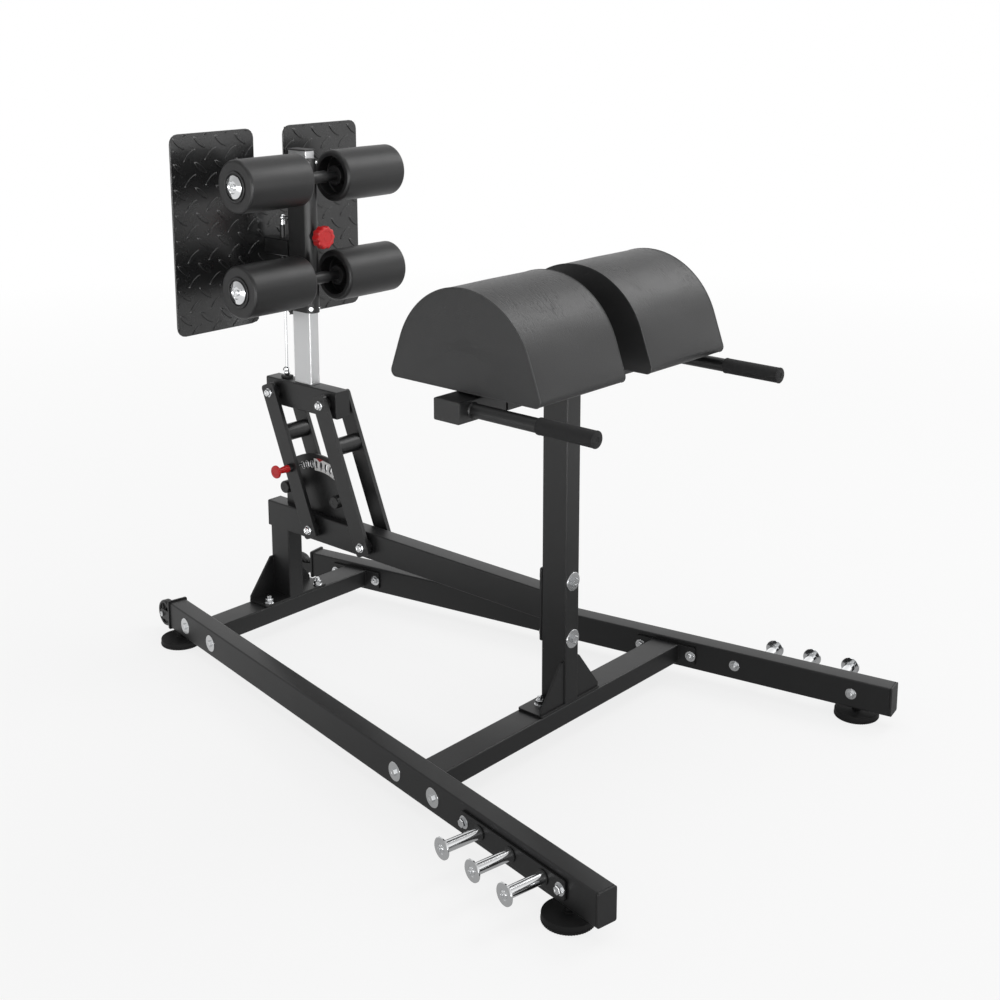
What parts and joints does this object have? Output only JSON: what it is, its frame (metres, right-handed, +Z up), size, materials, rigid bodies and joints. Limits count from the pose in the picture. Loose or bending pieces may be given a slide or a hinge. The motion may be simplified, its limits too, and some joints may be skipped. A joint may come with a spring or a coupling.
{
  "type": "glute ham developer",
  "caption": "Free-standing hip and hamstring bench: thigh pads on a mast, ankle rollers and a foot plate on a swinging head, splayed base rails with feet and wheels.",
  "frame": {"origin": "floor level under the centre of the whole machine's bounding box", "axes": "+Z up, +X from the foot plate towards the handles, +Y to the machine's left seen along +X"},
  "size_m": [1.8709, 1.3714, 1.4255],
  "materials": {
    "steel_black": "satin black powder coat, fine texture",
    "plate_black": "satin black powder coat on plate",
    "plastic_black": "moulded matt black plastic",
    "rubber_black": "matt black rubber",
    "foam_black": "moulded foam with a fine skin",
    "vinyl_black": "grained black upholstery vinyl",
    "chrome": "polished chrome plate",
    "satin_chrome": "satin chrome plate",
    "zinc": "bright zinc plated fasteners",
    "plastic_red": "glossy red plastic"
  },
  "bodies": {
    "base": {"rail_right": "steel_black", "rail_left": "steel_black", "rail_cap_right": "plastic_black", "rail_cap_left": "plastic_black", "wheel_axle_right": "zinc", "wheel_axle_left": "zinc", "peg_plate_right": "plate_black", "peg_plate_left": "plate_black", "band_peg_right_1": "chrome", "band_peg_right_2": "chrome", "band_peg_right_3": "chrome", "band_peg_left_1": "chrome", "band_peg_left_2": "chrome", "band_peg_left_3": "chrome", "front_crossmember": "steel_black", "rear_crossmember": "steel_black", "front_mast": "steel_black", "main_spine": "steel_black", "spine_end_cap": "plastic_black", "mast_bolt_lower": "zinc", "mast_bolt_upper": "zinc", "quadrant_plate": "plate_black", "stop_bumper_rear": "rubber_black", "stop_bumper_front": "rubber_black", "pivot_bolt_lower_rear": "zinc", "pivot_bolt_lower_front": "zinc", "pad_frame": "steel_black", "handle_grip_right": "rubber_black", "handle_grip_left": "rubber_black", "thigh_pad_right": "vinyl_black", "thigh_pad_left": "vinyl_black"},
    "rear_link": {"rear_link": "steel_black"},
    "front_link": {"front_link": "steel_black"},
    "index_pin": {"index_pin": "plastic_red"},
    "head": {"head_block": "steel_black", "slide_post": "satin_chrome", "post_cap": "plastic_black", "gas_spring_rod": "chrome", "pivot_bolt_upper_rear": "zinc", "pivot_bolt_upper_front": "zinc"},
    "carriage": {"carriage": "steel_black", "plate_arm": "steel_black", "foot_plate": "plate_black", "gas_spring_body": "steel_black", "roller_bolt_upper_right": "zinc", "roller_bolt_upper_left": "zinc", "roller_bolt_lower_right": "zinc", "roller_bolt_lower_left": "zinc"},
    "star_knob": {"star_knob": "plastic_red"},
    "roller_upper_right": {"roller_upper_right": "foam_black"},
    "roller_upper_left": {"roller_upper_left": "foam_black"},
    "roller_lower_right": {"roller_lower_right": "foam_black"},
    "roller_lower_left": {"roller_lower_left": "foam_black"},
    "wheel_right": {"wheel_right": "plastic_black"},
    "wheel_left": {"wheel_left": "plastic_black"},
    "foot_front_right": {"foot_front_right": "rubber_black"},
    "foot_front_left": {"foot_front_left": "rubber_black"},
    "foot_rear_right": {"foot_rear_right": "rubber_black"},
    "foot_rear_left": {"foot_rear_left": "rubber_black"}
  },
  "joints": [
    {"name": "rear_link_swing", "type": "hinge", "parent": "base", "child": "rear_link", "pos_m": [-0.51442, 0, 0.336], "axis": [0, 1, 0], "range_deg": [-5.1, 49.6]},
    {"name": "head_swing", "type": "hinge", "parent": "rear_link", "child": "head", "pos_m": [-0.66341, 0, 0.69999], "axis": [0, 1, 0], "range_deg": [-49.6, 5.1]},
    {"name": "front_link_swing", "type": "hinge", "parent": "base", "child": "front_link", "pos_m": [-0.30742, 0, 0.336], "axis": [0, 1, 0], "range_deg": [-5.1, 49.6]},
    {"name": "carriage_slide", "type": "slide", "parent": "head", "child": "carriage", "axis": [0, 0, 1], "range_m": [-0.188, 0.01]},
    {"name": "index_pin_pull", "type": "slide", "parent": "rear_link", "child": "index_pin", "axis": [0, -1, 0], "range_m": [0, 0.01], "stiffness_N_per_m": 400, "springref_m": -0.01},
    {"name": "star_knob_turn", "type": "hinge", "parent": "carriage", "child": "star_knob", "pos_m": [-0.47741, 0, 1.14649], "axis": [1, 0, 0], "range_deg": [-360, 0]},
    {"name": "roller_upper_right_spin", "type": "hinge", "parent": "carriage", "child": "roller_upper_right", "pos_m": [-0.50541, -0.1635, 1.30249], "axis": [0, 1, 0], "continuous": true},
    {"name": "roller_upper_left_spin", "type": "hinge", "parent": "carriage", "child": "roller_upper_left", "pos_m": [-0.50541, 0.1635, 1.30249], "axis": [0, 1, 0], "continuous": true},
    {"name": "roller_lower_right_spin", "type": "hinge", "parent": "carriage", "child": "roller_lower_right", "pos_m": [-0.50541, -0.1635, 1.03349], "axis": [0, 1, 0], "continuous": true},
    {"name": "roller_lower_left_spin", "type": "hinge", "parent": "carriage", "child": "roller_lower_left", "pos_m": [-0.50541, 0.1635, 1.03349], "axis": [0, 1, 0], "continuous": true},
    {"name": "wheel_right_spin", "type": "hinge", "parent": "base", "child": "wheel_right", "pos_m": [-0.89737, -0.24981, 0.0525], "axis": [0.1785, 0.9839, 0], "continuous": true},
    {"name": "wheel_left_spin", "type": "hinge", "parent": "base", "child": "wheel_left", "pos_m": [-0.89737, 0.24981, 0.0525], "axis": [-0.1785, 0.9839, 0], "continuous": true},
    {"name": "foot_front_right_turn", "type": "hinge", "parent": "base", "child": "foot_front_right", "pos_m": [0.83289, -0.57656, 0.009], "axis": [0, 0, 1], "range_deg": [-180, 180]},
    {"name": "foot_front_left_turn", "type": "hinge", "parent": "base", "child": "foot_front_left", "pos_m": [0.83289, 0.57656, 0.009], "axis": [0, 0, 1], "range_deg": [-180, 180]},
    {"name": "foot_rear_right_turn", "type": "hinge", "parent": "base", "child": "foot_rear_right", "pos_m": [-0.7969, -0.28084, 0.009], "axis": [0, 0, 1], "range_deg": [-180, 180]},
    {"name": "foot_rear_left_turn", "type": "hinge", "parent": "base", "child": "foot_rear_left", "pos_m": [-0.7969, 0.28084, 0.009], "axis": [0, 0, 1], "range_deg": [-180, 180]}
  ],
  "couplings": [
    {"joint": "head_swing", "follows": "rear_link_swing", "ratio": -1},
    {"joint": "front_link_swing", "follows": "rear_link_swing", "ratio": 1}
  ]
}
